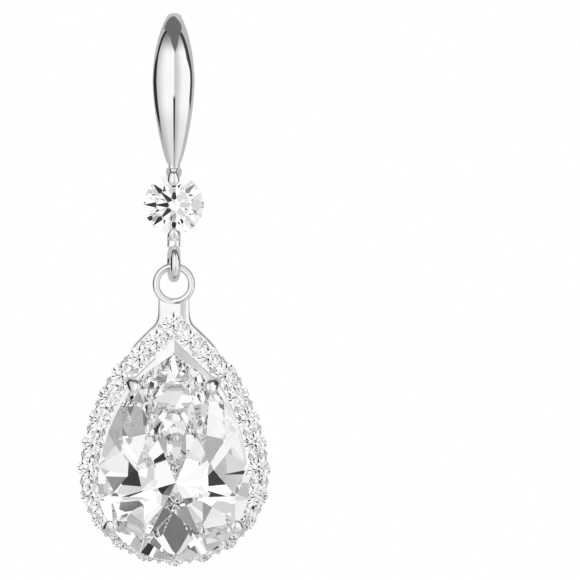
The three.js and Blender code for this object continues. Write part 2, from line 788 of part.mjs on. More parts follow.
function beadProng({ x, z, out }, offset) {
  const top = haloGirdle + beadHeight;
  const profile = [
    new THREE.Vector2(0, 0),
    new THREE.Vector2(beadRadius, 0),
    new THREE.Vector2(beadRadius, top - beadRadius * 0.6),
    new THREE.Vector2(beadRadius * 0.6, top),
    new THREE.Vector2(0, top),
  ];
  const prong = new THREE.LatheGeometry(profile, beadSides);
  return prong.rotateX(Math.PI).translate(x + out.x * offset, 0, z + out.y * offset);
}

// Conical seat with a hole behind it, cut a little wider than the stone
function seatCutter({ x, z }) {
  const radius = haloStoneDiameter / 2;
  const steep = 2 * cut.pavilion;
  const drop = (cut.girdle * haloStoneDiameter) / 2 + stoneGap * Math.hypot(1, steep);
  const hole = radius * seatHole;
  const widen = 1 / Math.cos(Math.PI / seatSides);
  const rim = radius + stoneGap;
  const profile = [
    [0, -2 * railDepth],
    [hole, -2 * railDepth],
    [hole, haloGirdle - drop - (radius - hole) * steep],
    [rim, haloGirdle - drop + stoneGap * steep],
    [rim, haloGirdle + pearRise],
    [0, haloGirdle + pearRise],
  ].map(([r, depth]) => new THREE.Vector2(r * widen, depth));
  return new THREE.LatheGeometry(profile, seatSides).rotateX(Math.PI).translate(x, 0, z);
}

function pendantSetting(stonePlaces, beadPlaces) {
  const beads = beadPlaces.flatMap((place) => [
    beadProng(place, beadOffset),
    beadProng(place, -beadOffset),
  ]);
  const frame = join([haloRail(), neck(), ...beads]);
  const cutters = [eyeletCutter(), ...stonePlaces.map(seatCutter)].map(solid);
  const seated = cutters.reduce((shape, cutter) => shape.subtract(cutter), frame);
  const arms = claws.flatMap((claw) => [...pearClaw(claw, false), ...pearClaw(claw, true)]);
  return geometryOf(join([galleryWall(), backRing(), eyelet(), ...arms]).add(seated));
}

// Everything beyond the plane through three points, on the side away from the
// inside point, as one large block
function beyond(a, b, c, inside) {
  const normal = new THREE.Vector3().crossVectors(b.clone().sub(a), c.clone().sub(a)).normalize();
  if (normal.dot(inside.clone().sub(a)) > 0) normal.negate();
  const turn = new THREE.Quaternion().setFromUnitVectors(new THREE.Vector3(0, 0, 1), normal);
  const foot = inside.clone().addScaledVector(normal, normal.dot(a.clone().sub(inside)) + big / 2);
  return new THREE.BoxGeometry(big, big, big).applyQuaternion(turn).translate(foot.x, foot.y, foot.z);
}

// Point at a height where two planes, given by three points each, cross
function meet(first, second, height) {
  const rows = [first, second].map(([a, b, c]) => {
    const n = new THREE.Vector3().crossVectors(b.clone().sub(a), c.clone().sub(a));
    return { x: n.x, y: n.y, total: n.dot(a) - n.z * height };
  });
  const [p, q] = rows;
  const base = p.x * q.y - p.y * q.x;
  return new THREE.Vector3(
    (p.total * q.y - q.total * p.y) / base,
    (p.x * q.total - q.x * p.total) / base,
    height,
  );
}

// Pear brilliant with its table towards +Z: a prism of its outline, cut by the
// planes of its table, mains, stars and girdle facets above and below
function pearBrilliant() {
  const half = pearGirdle / 2;
  const path = pearHalf(pearLine);
  const rimAt = (turns) => {
    const u = ((turns % 1) + 1) % 1;
    const left = u > 0.5;
    const share = left ? 2 - 2 * u : 2 * u;
    const point = path.getPointAt(share);
    const tangent = path.getTangentAt(share);
    const onAxis = share < 1e-6 || share > 1 - 1e-6;
    const flip = (v) => new THREE.Vector2(left ? -v.x : v.x, v.y);
    return { point: flip(point), tangent: onAxis ? new THREE.Vector2(1, 0) : flip(tangent) };
  };
  const at = (point, z) => new THREE.Vector3(point.x, point.y, z);
  const centre = new THREE.Vector3(0, tableRise, 0);
  const top = half + pearCrown;
  const culet = new THREE.Vector3(culetAside, 0, -half - pearPavilion);
  const mains = [];
  const girdle = [];
  for (let k = 0; k < pearMains; k += 1) {
    const { point, tangent } = rimAt(k / pearMains);
    const along = new THREE.Vector3(tangent.x, tangent.y, 0);
    const upper = at(point, half);
    const lower = at(point, -half);
    const corner = centre.clone().lerp(at(point, 0), pearTable).setZ(top);
    mains.push({
      corner,
      crown: [upper, upper.clone().add(along), corner],
      pavilion: [lower, lower.clone().add(along), culet],
    });
    girdle.push(point, rimAt((k + 0.5) / pearMains).point);
  }
  const planes = [mains.slice(0, 3).map(({ corner }) => corner)];
  for (let k = 0; k < pearMains; k += 1) {
    const here = mains[k];
    const next = mains[(k + 1) % pearMains];
    const mid = meet(here.crown, next.crown, lerp(half, top, starShare));
    const low = meet(here.pavilion, next.pavilion, lerp(-half, -half - pearPavilion, lowerShare));
    const rim = [0, 1, 2].map((j) => girdle[(2 * k + j) % girdle.length]);
    planes.push(here.crown, here.pavilion, [here.corner, next.corner, mid]);
    for (const [a, b] of [[rim[0], rim[1]], [rim[1], rim[2]]]) {
      planes.push([mid, at(a, half), at(b, half)], [low, at(a, -half), at(b, -half)]);
    }
  }
  const outline = pearPoints(pearLine, 0, pearHalfSteps);
  const blank = solid(skin([-big / 4, big / 4].map((z) => outline.map((p) => at(p, z)))));
  const stone = planes.reduce(
    (shape, [a, b, c]) => shape.subtract(solid(beyond(a, b, c, centre))),
    blank,
  );
  return geometryOf(stone);
}

const earring = new THREE.Group();
earring.add(named('ear_hook', earHook(), silver));
earring.add(named(
  'round_stone',
  facing(roundBrilliant(roundStoneDiameter), 0, 0, -hangForward, roundCentre),
  crystal,
));

const pendant = new THREE.Group();
pendant.position.set(0, -hangForward, pivotHeight);
pendant.rotation.x = radians(pendantTilt);
earring.add(pendant);

const { stones, beads } = haloPlaces();
const stonePlaces = bothSides(stones);
pendant.add(named('pendant_setting', pendantSetting(stonePlaces, bothSides(beads)), silver));
pendant.add(named('pear_stone', facing(pearBrilliant(), 0, 0, -pearPlane, pearMiddle), crystal));

const haloBrilliant = roundBrilliant(haloStoneDiameter);
stonePlaces.forEach(({ x, z, out }, i) => {
  const spin = Math.atan2(out.y, out.x);
  const name = `halo_stone_${String(i + 1).padStart(2, '0')}`;
  pendant.add(named(name, facing(haloBrilliant, spin, x, -haloGirdle, z), crystal));
});

export default earring;
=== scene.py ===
"""Teardrop drop earring: the looks of its polished silver metal and clear stones.

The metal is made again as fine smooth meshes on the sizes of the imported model,
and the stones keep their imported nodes. Lengths are in millimetres until a mesh
is made. +Z is up, -Y is the front and +X the right-hand side from the front."""

import math
from bisect import bisect_right

import bmesh
import bpy
from mathutils import Matrix, Vector


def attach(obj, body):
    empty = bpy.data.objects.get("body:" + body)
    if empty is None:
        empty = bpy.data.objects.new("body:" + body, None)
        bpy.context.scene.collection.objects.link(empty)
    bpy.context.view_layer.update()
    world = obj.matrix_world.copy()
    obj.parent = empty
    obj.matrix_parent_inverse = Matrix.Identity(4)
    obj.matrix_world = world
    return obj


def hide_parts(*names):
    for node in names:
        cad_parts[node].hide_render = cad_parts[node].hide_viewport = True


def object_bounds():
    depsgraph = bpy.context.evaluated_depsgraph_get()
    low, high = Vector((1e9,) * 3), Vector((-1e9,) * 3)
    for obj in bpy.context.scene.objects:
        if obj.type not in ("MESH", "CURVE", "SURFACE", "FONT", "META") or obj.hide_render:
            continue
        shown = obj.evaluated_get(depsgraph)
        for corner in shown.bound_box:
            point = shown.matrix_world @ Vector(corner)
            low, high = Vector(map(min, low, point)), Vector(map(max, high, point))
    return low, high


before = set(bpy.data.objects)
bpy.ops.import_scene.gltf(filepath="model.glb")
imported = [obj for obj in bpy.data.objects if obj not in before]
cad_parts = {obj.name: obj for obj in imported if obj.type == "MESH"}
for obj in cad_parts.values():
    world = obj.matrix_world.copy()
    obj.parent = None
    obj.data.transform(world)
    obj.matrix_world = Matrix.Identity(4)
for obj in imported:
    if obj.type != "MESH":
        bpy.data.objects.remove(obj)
cad_low, cad_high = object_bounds()

MM = 0.001

# Gaps that keep the separate pieces clear of each other
STONE_GAP = 0.06
LINK_GAP = 0.17

# Ear hook
WIRE = 0.8
LEAF_LENGTH = 13.28  # from the top of the arch to the tip of the leaf
LEAF_WIDTH = 3.6
LEAF_DOME = 1.05  # how far its front swells out
LEAF_FORWARD = 3.4  # its widest part in front of the arch's crown
LEAF_POINT = 0.28
LEAF_HANDLES = (0.3, 0.36)  # of its curve, as shares of its height
ARCH_RISE = 5.0
ARCH_TAPER = 2.6  # how far behind the crown the leaf has become round wire
HANG_FORWARD = 2.0  # stone and pendant in front of the crown
LEG_REACH = 4.6
LEG_LENGTH = 13.4
LEG_KICK = 0.8
LEG_HANDLE = 0.4
COLLAR_WIDTH = 0.9
COLLAR_HEIGHT = 0.7
STRAP_WIDTH = 1.34
UPPER_CLAW_WIDTH = 1.08
UPPER_CLAW_REACH = 0.95
LOWER_CLAW_WIDTH = 0.7
LOWER_CLAW_REACH = 0.58
CRADLE_WIDTH = 1.15
CRADLE_THICKNESS = 0.6
CLAW_BULGES = (0.75, 1.1)  # its distance from the girdle, in front and behind, over its reach
CRADLE_BENDS = ((0.75, 0.25), (0.4, 0.6))  # behind the stone: shares of its radius and pavilion
SEAT_RING_RADIUS = 1.75
BOSS_WIDTH = 1.15
BOSS_HEIGHT = 0.8
LOOP_DIAMETER = 3.3
LOOP_WIRE = 0.91
LOOP_TURN = 8  # degrees

# Stones
ROUND_DIAMETER = 5.2
HALO_DIAMETER = 2.0
PEAR_LENGTH = 17.9
PEAR_WIDTH = 13.0
PEAR_CROWN = 2.14
PEAR_GIRDLE = 0.34
PEAR_PAVILION = 5.36
PEAR_TABLE = 0.49
# Round stones: table, crown, girdle and pavilion as shares of the diameter
CUT_TABLE, CUT_CROWN, CUT_GIRDLE, CUT_PAVILION = 0.56, 0.15, 0.03, 0.43

# Pendant metal
PENDANT_TILT = 7.1  # degrees that the pear's weight leans it
EYELET_HOLE = 2.45
EYELET_BAND = 0.62
EYELET_DEPTH = 0.7
NECK_LENGTH = 3.1
NECK_WIDTH = 2.7
NECK_SPREAD = 3.0
HALO_WIDTH = 14.7
HALO_LENGTH = 20.2
HALO_GAP = 0.02
HALO_SPREAD = 0.09  # how much closer the upper halo stones stand, and wider the lower ones
RAIL_WIDTH = 1.5
RAIL_DEPTH = 1.22
RAIL_BACK = 0.6  # rail behind the middle plane of the pendant
GIRDLE_ABOVE_RAIL = 0.28
SEAT_HOLE = 0.55  # hole behind a halo stone, as a share of its radius
CUP_RADIUS = 0.94
CUP_ABOVE_RAIL = 0.1
CUP_FOOT = ((0.8, 0), (0.86, 0.06))  # share of the radius, height over the rail's back
CUP_RIM = ((0.97, 0.3), (1, 0.12), (0.99, 0.04), (0.96, 0))  # the same, under the rim
BEAD_RADIUS = 0.17
BEAD_OFFSET = 0.68  # from the line of the halo stones
BEAD_HEIGHT = 0.25  # above the halo stones' girdles
BEAD_FOOT = 0.6  # foot behind the middle plane, as a share of the rail's
PEAR_RISE = 2.3  # pear's girdle in front of the halo stones' girdles
PEAR_OVERHANG = 0.05
WALL_THICKNESS = 0.5
WALL_LEDGE = 0.455  # how far inside the pear's edge its seat begins
SEAT_STEEPNESS = 1.18  # next to a straight line from the girdle to the culet
SHELF_RISE = 0.12
SHELF_DROP = 0.84  # how much the shelf's outer edge sinks along the shoulders
SHELF_DROP_START, SHELF_DROP_END = 0.45, 0.68  # shares of the way up to the halo's tip
CLAW_RADIUS = 0.36
CLAW_TIP = 0.62  # half the width of a claw's flattened end
CLAW_SWELL = 2.2  # how far back it widens, in widths of the end
CLAW_REACH = 0.6
CLAW_ASIDE = 1.05
CLAWS = ((0.18, 1.5), (0.73, 1.0))  # place down the pear's outline, stand-off over its crown
BACK_RING_SHARE = 0.45
BACK_RING_RADIUS = 0.35

# Squareness of sections: 1 is round, and less is squarer
POST_POWER = 0.6
RAIL_POWER = 0.5
EYELET_POWER = 0.8
NECK_POWER = 0.55

# Pear outlines from their widest line, as shares of their length: top, bottom,
# straight shoulder, and the two handles of the curve below it
HALO_SHARES = {"top": 0.657, "bottom": 0.343, "shoulder": 0.303, "turn": 0.043, "flank": 0.2}
PEAR_SHARES = {"top": 0.636, "bottom": 0.364, "shoulder": 0.178, "turn": 0.048, "flank": 0.263}
HALO_TIP_ANGLE = 45.4  # degrees from upright to the shoulder
PEAR_TIP_ANGLE = 56

# Leaf sections down from the crown: share of the way down, width, swell
LEAF_SECTIONS = (
    (0.0, 0.36, 0.0),
    (0.04, 0.48, 0.1),
    (0.1, 0.64, 0.32),
    (0.18, 0.79, 0.6),
    (0.26, 0.905, 0.82),
    (0.36, 0.98, 0.96),
    (0.46, 1.0, 1.0),
    (0.62, 0.91, 0.88),
    (0.78, 0.72, 0.62),
    (0.9, 0.52, 0.36),
    (0.975, 0.35, 0.16),
    (0.992, 0.27, 0.12),
    (1.022, 0.03, 0.1),
)
# Neck sections from the halo's shoulders up to the eyelet: share, width, and
# thickness as a share of the rail's back
NECK_SECTIONS = (
    (0.0, 3.04, 1.0),
    (0.2, 2.5, 1.0),
    (0.4, 1.71, 1.0),
    (0.48, 1.36, 1.0),
    (0.53, 1.19, 0.97),
    (0.63, 1.04, 0.8),
    (0.74, 1.0, 0.6),
    (1.0, 0.98, 0.43),
)
# Cradle sections from the upper claw to the lower one: share, width, and
# thickness of its outer half
CRADLE_SECTIONS = (
    (0.0, UPPER_CLAW_WIDTH, 1.0),
    (0.04, UPPER_CLAW_WIDTH, 1.35),
    (0.08, UPPER_CLAW_WIDTH, 1.7),
    (0.125, STRAP_WIDTH, 1.0),
    (0.2, STRAP_WIDTH, 0.9),
    (0.3, UPPER_CLAW_WIDTH, 1.0),
    (0.5, UPPER_CLAW_WIDTH, 1.0),
    (0.82, CRADLE_WIDTH, 1.0),
    (0.92, CRADLE_WIDTH, 1.0),
    (1.0, LOWER_CLAW_WIDTH, 1.0),
)
QUARTER = 0.5523  # handle of a cubic curve that makes a quarter of a circle

# How finely round forms are divided
LEAF_STEPS, LEAF_SIDES = 200, 64
ROD_STEPS, ROD_SIDES = 60, 28
RING_STEPS, RING_SIDES = 96, 32
OUTLINE_STEPS = 120
LATHE_SIDES = 40
BEAD_SIDES = 16
CAP_ANGLES = (8, 20, 32, 44, 56, 68, 80)
BEAD_ANGLES = range(0, 90, 15)
BEND_STEPS = 40
END_FLAT = 0.1  # share of its radius at which a round end is cut flat


def lerp(a, b, t):
    return a + (b - a) * t


def smooth(low, high, value):
    t = min(max((value - low) / (high - low), 0), 1)
    return t * t * (3 - 2 * t)


def read_table(rows, column, at):
    """Smooth reading of one column of a table of sections."""
    last = len(rows) - 1
    i = 0
    while i < last - 1 and rows[i + 1][0] < at:
        i += 1

    def slope(j):
        a, b = rows[max(j - 1, 0)], rows[min(j + 1, last)]
        return (b[column] - a[column]) / (b[0] - a[0])

    span = rows[i + 1][0] - rows[i][0]
    t = min(max((at - rows[i][0]) / span, 0), 1)
    start = rows[i][column] * (1 + 2 * t) * (1 - t) ** 2
    end = rows[i + 1][column] * t * t * (3 - 2 * t)
    leave = slope(i) * span * t * (1 - t) ** 2
    arrive = slope(i + 1) * span * t * t * (t - 1)
    return start + end + leave + arrive


class Route:
    """Curve through close points, read by the share of its length."""

    def __init__(self, points):
        self.points = points
        self.reach = [0.0]
        for a, b in zip(points, points[1:]):
            self.reach.append(self.reach[-1] + (b - a).length)
        self.length = self.reach[-1]
        self.tangents = []
        for i in range(len(points)):
            a, b = points[max(i - 1, 0)], points[min(i + 1, len(points) - 1)]
            self.tangents.append((b - a).normalized())

    def at(self, share):
        far = min(max(share, 0), 1) * self.length
        i = min(max(bisect_right(self.reach, far) - 1, 0), len(self.points) - 2)
        t = (far - self.reach[i]) / (self.reach[i + 1] - self.reach[i])
        point = self.points[i].lerp(self.points[i + 1], t)
        return point, self.tangents[i].lerp(self.tangents[i + 1], t).normalized()


def bezier(a, b, c, d, steps=80):
    """Points of a cubic curve, without its first one."""
    points = []
    for i in range(1, steps + 1):
        t = i / steps
        s = 1 - t
        points.append(a * s**3 + b * 3 * s * s * t + c * 3 * s * t * t + d * t**3)
    return points


def through(points, steps=24):
    """Route of a smooth centripetal curve through a few points."""
    knots = [points[0] * 2 - points[1], *points, points[-1] * 2 - points[-2]]
    made = [points[0]]
    for p0, p1, p2, p3 in zip(knots, knots[1:], knots[2:], knots[3:]):
        d0, d1, d2 = (math.sqrt((b - a).length) for a, b in ((p0, p1), (p1, p2), (p2, p3)))
        m1 = ((p1 - p0) / d0 - (p2 - p0) / (d0 + d1) + (p2 - p1) / d1) * d1
        m2 = ((p2 - p1) / d1 - (p3 - p1) / (d1 + d2) + (p3 - p2) / d2) * d1
        made += bezier(p1, p1 + m1 / 3, p2 - m2 / 3, p2, steps)
    return Route(made)


def side(y, z):
    return Vector((0, y, z))


def loft(rings, closed=False):
    """Closed shell over rings of points. The ends are capped, or joined if closed."""
    sides = len(rings[0])
    faces = []
    for i in range(len(rings) if closed else len(rings) - 1):
        near, far = i * sides, (i + 1) % len(rings) * sides
        for k in range(sides):
            after = (k + 1) % sides
            faces.append((near + k, near + after, far + after, far + k))
    if not closed:
        last = (len(rings) - 1) * sides
        faces += [tuple(range(sides)), tuple(range(last, last + sides))]
    return [p for ring in rings for p in ring], faces


def rounded_shares(length, steps, start_radius=0, end_radius=0):
    """Shares along a rod to put rings at, closer together at its round ends."""
    start = [start_radius * (1 - math.cos(math.radians(a))) / length for a in CAP_ANGLES]
    end = [1 - end_radius * (1 - math.cos(math.radians(a))) / length for a in CAP_ANGLES]
    low = start_radius / length
    high = 1 - end_radius / length
    middle = [lerp(low, high, i / steps) for i in range(steps + 1)]
    return [*(start if start_radius else []), *middle, *(reversed(end) if end_radius else [])]


def round_end(distance, radius):
    """Share of its section that a rod keeps at a distance from its round end."""
    if distance >= radius:
        return 1
    return math.sqrt(max(1 - (1 - distance / radius) ** 2, END_FLAT**2))


def around(sides, power=1.0):
    """Points of a unit section: round with a power of 1, squarer below it."""
    made = []
    for k in range(sides):
        turn = 2 * math.pi * k / sides
        across, deep = math.cos(turn), math.sin(turn)
        made.append(tuple(math.copysign(abs(v) ** power, v) for v in (across, deep)))
    return made


def sweep(route, shares, sides, size_at, power=1.0):
    """Shell swept along a route in the YZ plane, with its width along X.
    size_at gives half the width and the thickness on the left and right."""
    rings = []
    for u in shares:
        point, along = route.at(u)
        half, left, right = size_at(u, point)
        ring = []
        for across, deep in around(sides, power):
            rise = deep * (left if deep > 0 else right)
            ring.append(Vector((half * across, point.y - along.z * rise, point.z + along.y * rise)))
        rings.append(ring)
    return loft(rings)


def torus(radius, wire, place, power=1.0):
    """Ring round the Z axis, moved by the place matrix."""
    rings = []
    for i in range(RING_STEPS):
        turn = 2 * math.pi * i / RING_STEPS
        ring = []
        for across, deep in around(RING_SIDES, power):
            far = radius + wire * across
            ring.append(place @ Vector((far * math.cos(turn), far * math.sin(turn), wire * deep)))
        rings.append(ring)
    return loft(rings, closed=True)


def lathe(profile, place, sides=LATHE_SIDES):
    """Shell turned round the Z axis from (radius, height) pairs that start and
    end on the axis, moved by the place matrix."""
    points = [place @ Vector((0, 0, profile[0][1]))]
    for radius, height in profile[1:-1]:
        for k in range(sides):
            turn = 2 * math.pi * k / sides
            points.append(place @ Vector((radius * math.cos(turn), radius * math.sin(turn), height)))
    points.append(place @ Vector((0, 0, profile[-1][1])))
    last = len(points) - 1
    rows = len(profile) - 2
    faces = []
    for k in range(sides):
        after = (k + 1) % sides
        faces.append((0, 1 + after, 1 + k))
        faces.append((last, last - sides + k, last - sides + after))
        for row in range(rows - 1):
            near, far = 1 + row * sides, 1 + (row + 1) * sides
            faces.append((near + k, near + after, far + after, far + k))
    return points, faces


def rod(start, end, radius, sides=ROD_SIDES):
    """Straight round rod between two points."""
    line = end - start
    turn = line.to_track_quat("Z", "Y").to_matrix().to_4x4()
    place = Matrix.Translation(start) @ turn
    return lathe([(0, 0), (radius, 0), (radius, line.length), (0, line.length)], place, sides)


def shell_object(name, shell, place=Matrix.Identity(4)):
    points, faces = shell
    mesh = bpy.data.meshes.new(name)
    mesh.from_pydata([place @ p * MM for p in points], [], faces)
    made = bmesh.new()
    made.from_mesh(mesh)
    bmesh.ops.recalc_face_normals(made, faces=made.faces)
    if made.calc_volume(signed=True) < 0:
        bmesh.ops.reverse_faces(made, faces=made.faces)
    made.to_mesh(mesh)
    made.free()
    return bpy.data.objects.new(name, mesh)


def combine(base, others, operation):
    """Base object joined with the others, or cut by them."""
    group = bpy.data.collections.new("combine")
    bpy.context.scene.collection.children.link(group)
    for other in others:
        group.objects.link(other)
    modifier = base.modifiers.new("combine", "BOOLEAN")
    modifier.operation = operation
    modifier.solver = "MANIFOLD"
    modifier.operand_type = "COLLECTION"
    modifier.collection = group
    bpy.context.view_layer.update()
    shaped = base.evaluated_get(bpy.context.evaluated_depsgraph_get())
    mesh = bpy.data.meshes.new_from_object(shaped)
    base.modifiers.remove(modifier)
    base.data = mesh
    for other in others:
        bpy.data.objects.remove(other)
    bpy.data.collections.remove(group)
    return base


def fuse(name, shells, cutters=(), more=(), place=Matrix.Identity(4)):
    """One solid from shells: joined, then cut, then joined with more shells."""
    base = shell_object(name, shells[0], place)
    bpy.context.scene.collection.objects.link(base)
    combine(base, [shell_object("part", s, place) for s in shells[1:]], "UNION")
    if cutters:
        combine(base, [shell_object("part", s, place) for s in cutters], "DIFFERENCE")
    if more:
        combine(base, [shell_object("part", s, place) for s in more], "UNION")
    return base


# Heights down the hook
CROWN_SPINE = WIRE / 2
LEAF_TIP = WIRE - LEAF_LENGTH
COLLAR_BOTTOM = LEAF_TIP - COLLAR_HEIGHT
ROUND_RADIUS = ROUND_DIAMETER / 2
ROUND_CENTRE = COLLAR_BOTTOM - STONE_GAP - ROUND_RADIUS
LOOP_TOP = ROUND_CENTRE - ROUND_RADIUS - BOSS_HEIGHT
PIVOT_HEIGHT = LOOP_TOP - LOOP_DIAMETER + LOOP_WIRE / 2


def hook_spine():
    """Up the leaf, over the arch and down the leg."""
    belly = CROWN_SPINE - ARCH_RISE
    leaf_run = belly - LEAF_TIP
    leg_end = CROWN_SPINE - LEG_LENGTH
    leg_run = belly - leg_end
    rise = ARCH_RISE * QUARTER
    low_handle, high_handle = LEAF_HANDLES
    start = side(-HANG_FORWARD, LEAF_TIP)
    point = side(-HANG_FORWARD - LEAF_POINT / 2, LEAF_TIP - LEAF_POINT)
    points = [point, start]
    points += bezier(
        start,
        side(-lerp(HANG_FORWARD, LEAF_FORWARD, low_handle), LEAF_TIP + leaf_run * low_handle),
        side(-LEAF_FORWARD, belly - leaf_run * high_handle),
        side(-LEAF_FORWARD, belly),
    )
    points += bezier(
        side(-LEAF_FORWARD, belly),
        side(-LEAF_FORWARD, belly + rise),
        side(-LEAF_FORWARD * QUARTER, CROWN_SPINE),
        side(0, CROWN_SPINE),
    )
    points += bezier(
        side(0, CROWN_SPINE),
        side(LEG_REACH * QUARTER, CROWN_SPINE),
        side(LEG_REACH, belly + rise),
        side(LEG_REACH, belly),
    )
    points += bezier(
        side(LEG_REACH, belly),
        side(LEG_REACH, belly - leg_run * LEG_HANDLE),
        side(LEG_REACH, leg_end + leg_run * LEG_HANDLE),
        side(LEG_REACH + LEG_KICK, leg_end),
    )
    return Route(points)


def leaf_and_wire():
    wire = WIRE / 2
    spine = hook_spine()

    def size_at(u, point):
        down = (CROWN_SPINE - point.z) / (CROWN_SPINE - LEAF_TIP) if point.y < 0 else 0
        half = LEAF_WIDTH / 2 * read_table(LEAF_SECTIONS, 1, down)
        front = lerp(wire, LEAF_DOME, read_table(LEAF_SECTIONS, 2, down))
        thin = smooth(0, ARCH_TAPER, point.y)
        end = round_end((1 - u) * spine.length, wire)
        return lerp(half, wire, thin) * end, lerp(front, wire, thin) * end, wire * end

    tip = [LEAF_POINT * i / 10 / spine.length for i in range(10)]
    shares = tip + rounded_shares(spine.length, LEAF_STEPS, end_radius=wire)[1:]
    return sweep(spine, sorted(shares), LEAF_SIDES, size_at)


def post(width, top, bottom):
    """Upright post under the leaf or the stone, with rounded corners."""
    route = Route([side(-HANG_FORWARD, bottom), side(-HANG_FORWARD, top)])
    return sweep(route, (0, 1), ROD_SIDES, lambda u, point: (width / 2,) * 3, POST_POWER)


def crown_height(diameter, radius):
    run = diameter / 2 * (1 - CUT_TABLE)
    climb = min((diameter / 2 - radius) / run, 1)
    return CUT_GIRDLE * diameter / 2 + diameter * CUT_CROWN * climb


def cradle():
    """Bar behind the round stone that folds over its girdle as two claws."""
    reach = CRADLE_THICKNESS / 2 + STONE_GAP
    half_girdle = CUT_GIRDLE * ROUND_DIAMETER / 2
    pavilion = CUT_PAVILION * ROUND_DIAMETER
    slope = math.atan2(pavilion, ROUND_RADIUS)
    keel = half_girdle + pavilion + reach / math.cos(slope)

    def fold(claw_inset):
        lip = ROUND_RADIUS - claw_inset
        lean, drop = reach * math.sin(slope), reach * math.cos(slope)
        front, behind = CLAW_BULGES
        points = [
            (lip, -crown_height(ROUND_DIAMETER, lip) - reach),
            (ROUND_RADIUS + reach * front, -half_girdle - reach),
            (ROUND_RADIUS + reach * behind, half_girdle),
        ]
        for across, deep in CRADLE_BENDS:
            points.append((ROUND_RADIUS * across + lean, half_girdle + pavilion * deep + drop))
        return points

    upper = [side(d - HANG_FORWARD, ROUND_CENTRE + r) for r, d in fold(UPPER_CLAW_REACH)]
    lower = [side(d - HANG_FORWARD, ROUND_CENTRE - r) for r, d in fold(LOWER_CLAW_REACH)]
    route = through([*upper, side(keel - HANG_FORWARD, ROUND_CENTRE), *reversed(lower)])

    def size_at(u, point):
        half = read_table(CRADLE_SECTIONS, 1, u) / 2
        end = round_end(min(u, 1 - u) * route.length, UPPER_CLAW_WIDTH / 2)
        thick = CRADLE_THICKNESS / 2 * end
        return half * end, thick * read_table(CRADLE_SECTIONS, 2, u), thick

    radius = UPPER_CLAW_WIDTH / 2
    shares = rounded_shares(route.length, 2 * ROD_STEPS, radius, radius)
    return sweep(route, shares, ROD_SIDES, size_at)


def seat_ring():
    wire = CRADLE_THICKNESS / 2
    slope = math.atan2(CUT_PAVILION * ROUND_DIAMETER, ROUND_RADIUS)
    depth = CUT_GIRDLE * ROUND_DIAMETER / 2
    depth += (ROUND_RADIUS - SEAT_RING_RADIUS) * math.tan(slope)
    depth += (wire + STONE_GAP) / math.cos(slope)
    place = Matrix.Translation(side(depth - HANG_FORWARD, ROUND_CENTRE))
    return torus(SEAT_RING_RADIUS, wire, place @ Matrix.Rotation(math.pi / 2, 4, "X"))


def hanging_loop():
    place = Matrix.Translation(side(-HANG_FORWARD, LOOP_TOP - LOOP_DIAMETER / 2))
    place @= Matrix.Rotation(math.radians(LOOP_TURN), 4, "Z") @ Matrix.Rotation(math.pi / 2, 4, "Y")
    return torus((LOOP_DIAMETER - LOOP_WIRE) / 2, LOOP_WIRE / 2, place)


def ear_hook():
    boss_top = ROUND_CENTRE - ROUND_RADIUS - STONE_GAP - CRADLE_THICKNESS / 4
    return fuse("hook_metal", [
        leaf_and_wire(),
        post(COLLAR_WIDTH, LEAF_TIP + COLLAR_HEIGHT / 4, COLLAR_BOTTOM),
        cradle(),
        seat_ring(),
        post(BOSS_WIDTH, boss_top, LOOP_TOP - LOOP_WIRE / 4),
        hanging_loop(),
    ])


def pear_line(width, length, shares, tip_angle):
    line = {"half": width / 2, "tip_angle": math.radians(tip_angle)}
    return line | {key: length * share for key, share in shares.items()}


HALO_LINE = pear_line(HALO_WIDTH, HALO_LENGTH, HALO_SHARES, HALO_TIP_ANGLE)
PEAR_LINE = pear_line(PEAR_WIDTH, PEAR_LENGTH, PEAR_SHARES, PEAR_TIP_ANGLE)


def pear_half(line, inset=0.0):
    """Right half of a pear outline, from its tip to its bottom, moved inward."""
    angle = line["tip_angle"]
    along = Vector((math.sin(angle), -math.cos(angle)))
    inward = Vector((-math.cos(angle), -math.sin(angle)))
    half = line["half"] - inset
    low = line["bottom"] - inset
    tip = Vector((0, line["top"] - inset / math.sin(angle)))
    bend = Vector((0, line["top"])) + along * line["shoulder"] + inward * inset
    widest = Vector((half, 0))
    bottom = Vector((0, -low))
    points = [tip.lerp(bend, i / BEND_STEPS) for i in range(BEND_STEPS + 1)]
    points += bezier(bend, bend + along * line["turn"], Vector((half, line["flank"])), widest)
    points += bezier(widest, Vector((half, -low * QUARTER)), Vector((half * QUARTER, -low)), bottom)
    return Route(points)


def pear_points(line, inset, half_steps):
    """Whole outline as points, down the right side and up the left."""
    route = pear_half(line, inset)
    right = [route.at(i / half_steps)[0] for i in range(half_steps + 1)]
    right[0].x = 0
    right[-1].x = 0
    return right + [Vector((-p.x, p.y)) for p in reversed(right[1:-1])]


# Heights and depths of the pendant from its pivot, depths counted forward
EYELET_CENTRE = LOOP_WIRE / 2 + LINK_GAP - EYELET_HOLE / 2
HALO_TIP = EYELET_CENTRE - EYELET_HOLE / 2 - NECK_LENGTH + HALO_DIAMETER / 2
HALO_MIDDLE = HALO_TIP - HALO_LINE["top"]
PEAR_MIDDLE = HALO_MIDDLE - HALO_LINE["bottom"] - PEAR_OVERHANG + PEAR_LINE["bottom"]
RAIL_FRONT = RAIL_DEPTH - RAIL_BACK
HALO_GIRDLE = RAIL_FRONT + GIRDLE_ABOVE_RAIL
PEAR_PLANE = HALO_GIRDLE + PEAR_RISE
PEAR_UNDER = PEAR_PLANE - PEAR_GIRDLE / 2
WALL_INSET = HALO_DIAMETER / 2 + STONE_GAP + WALL_THICKNESS / 2
PAVILION_SLOPE = SEAT_STEEPNESS * PEAR_PAVILION / (PEAR_WIDTH / 2)
BACK_RING_DEPTH = PEAR_UNDER - PEAR_PAVILION - STONE_GAP
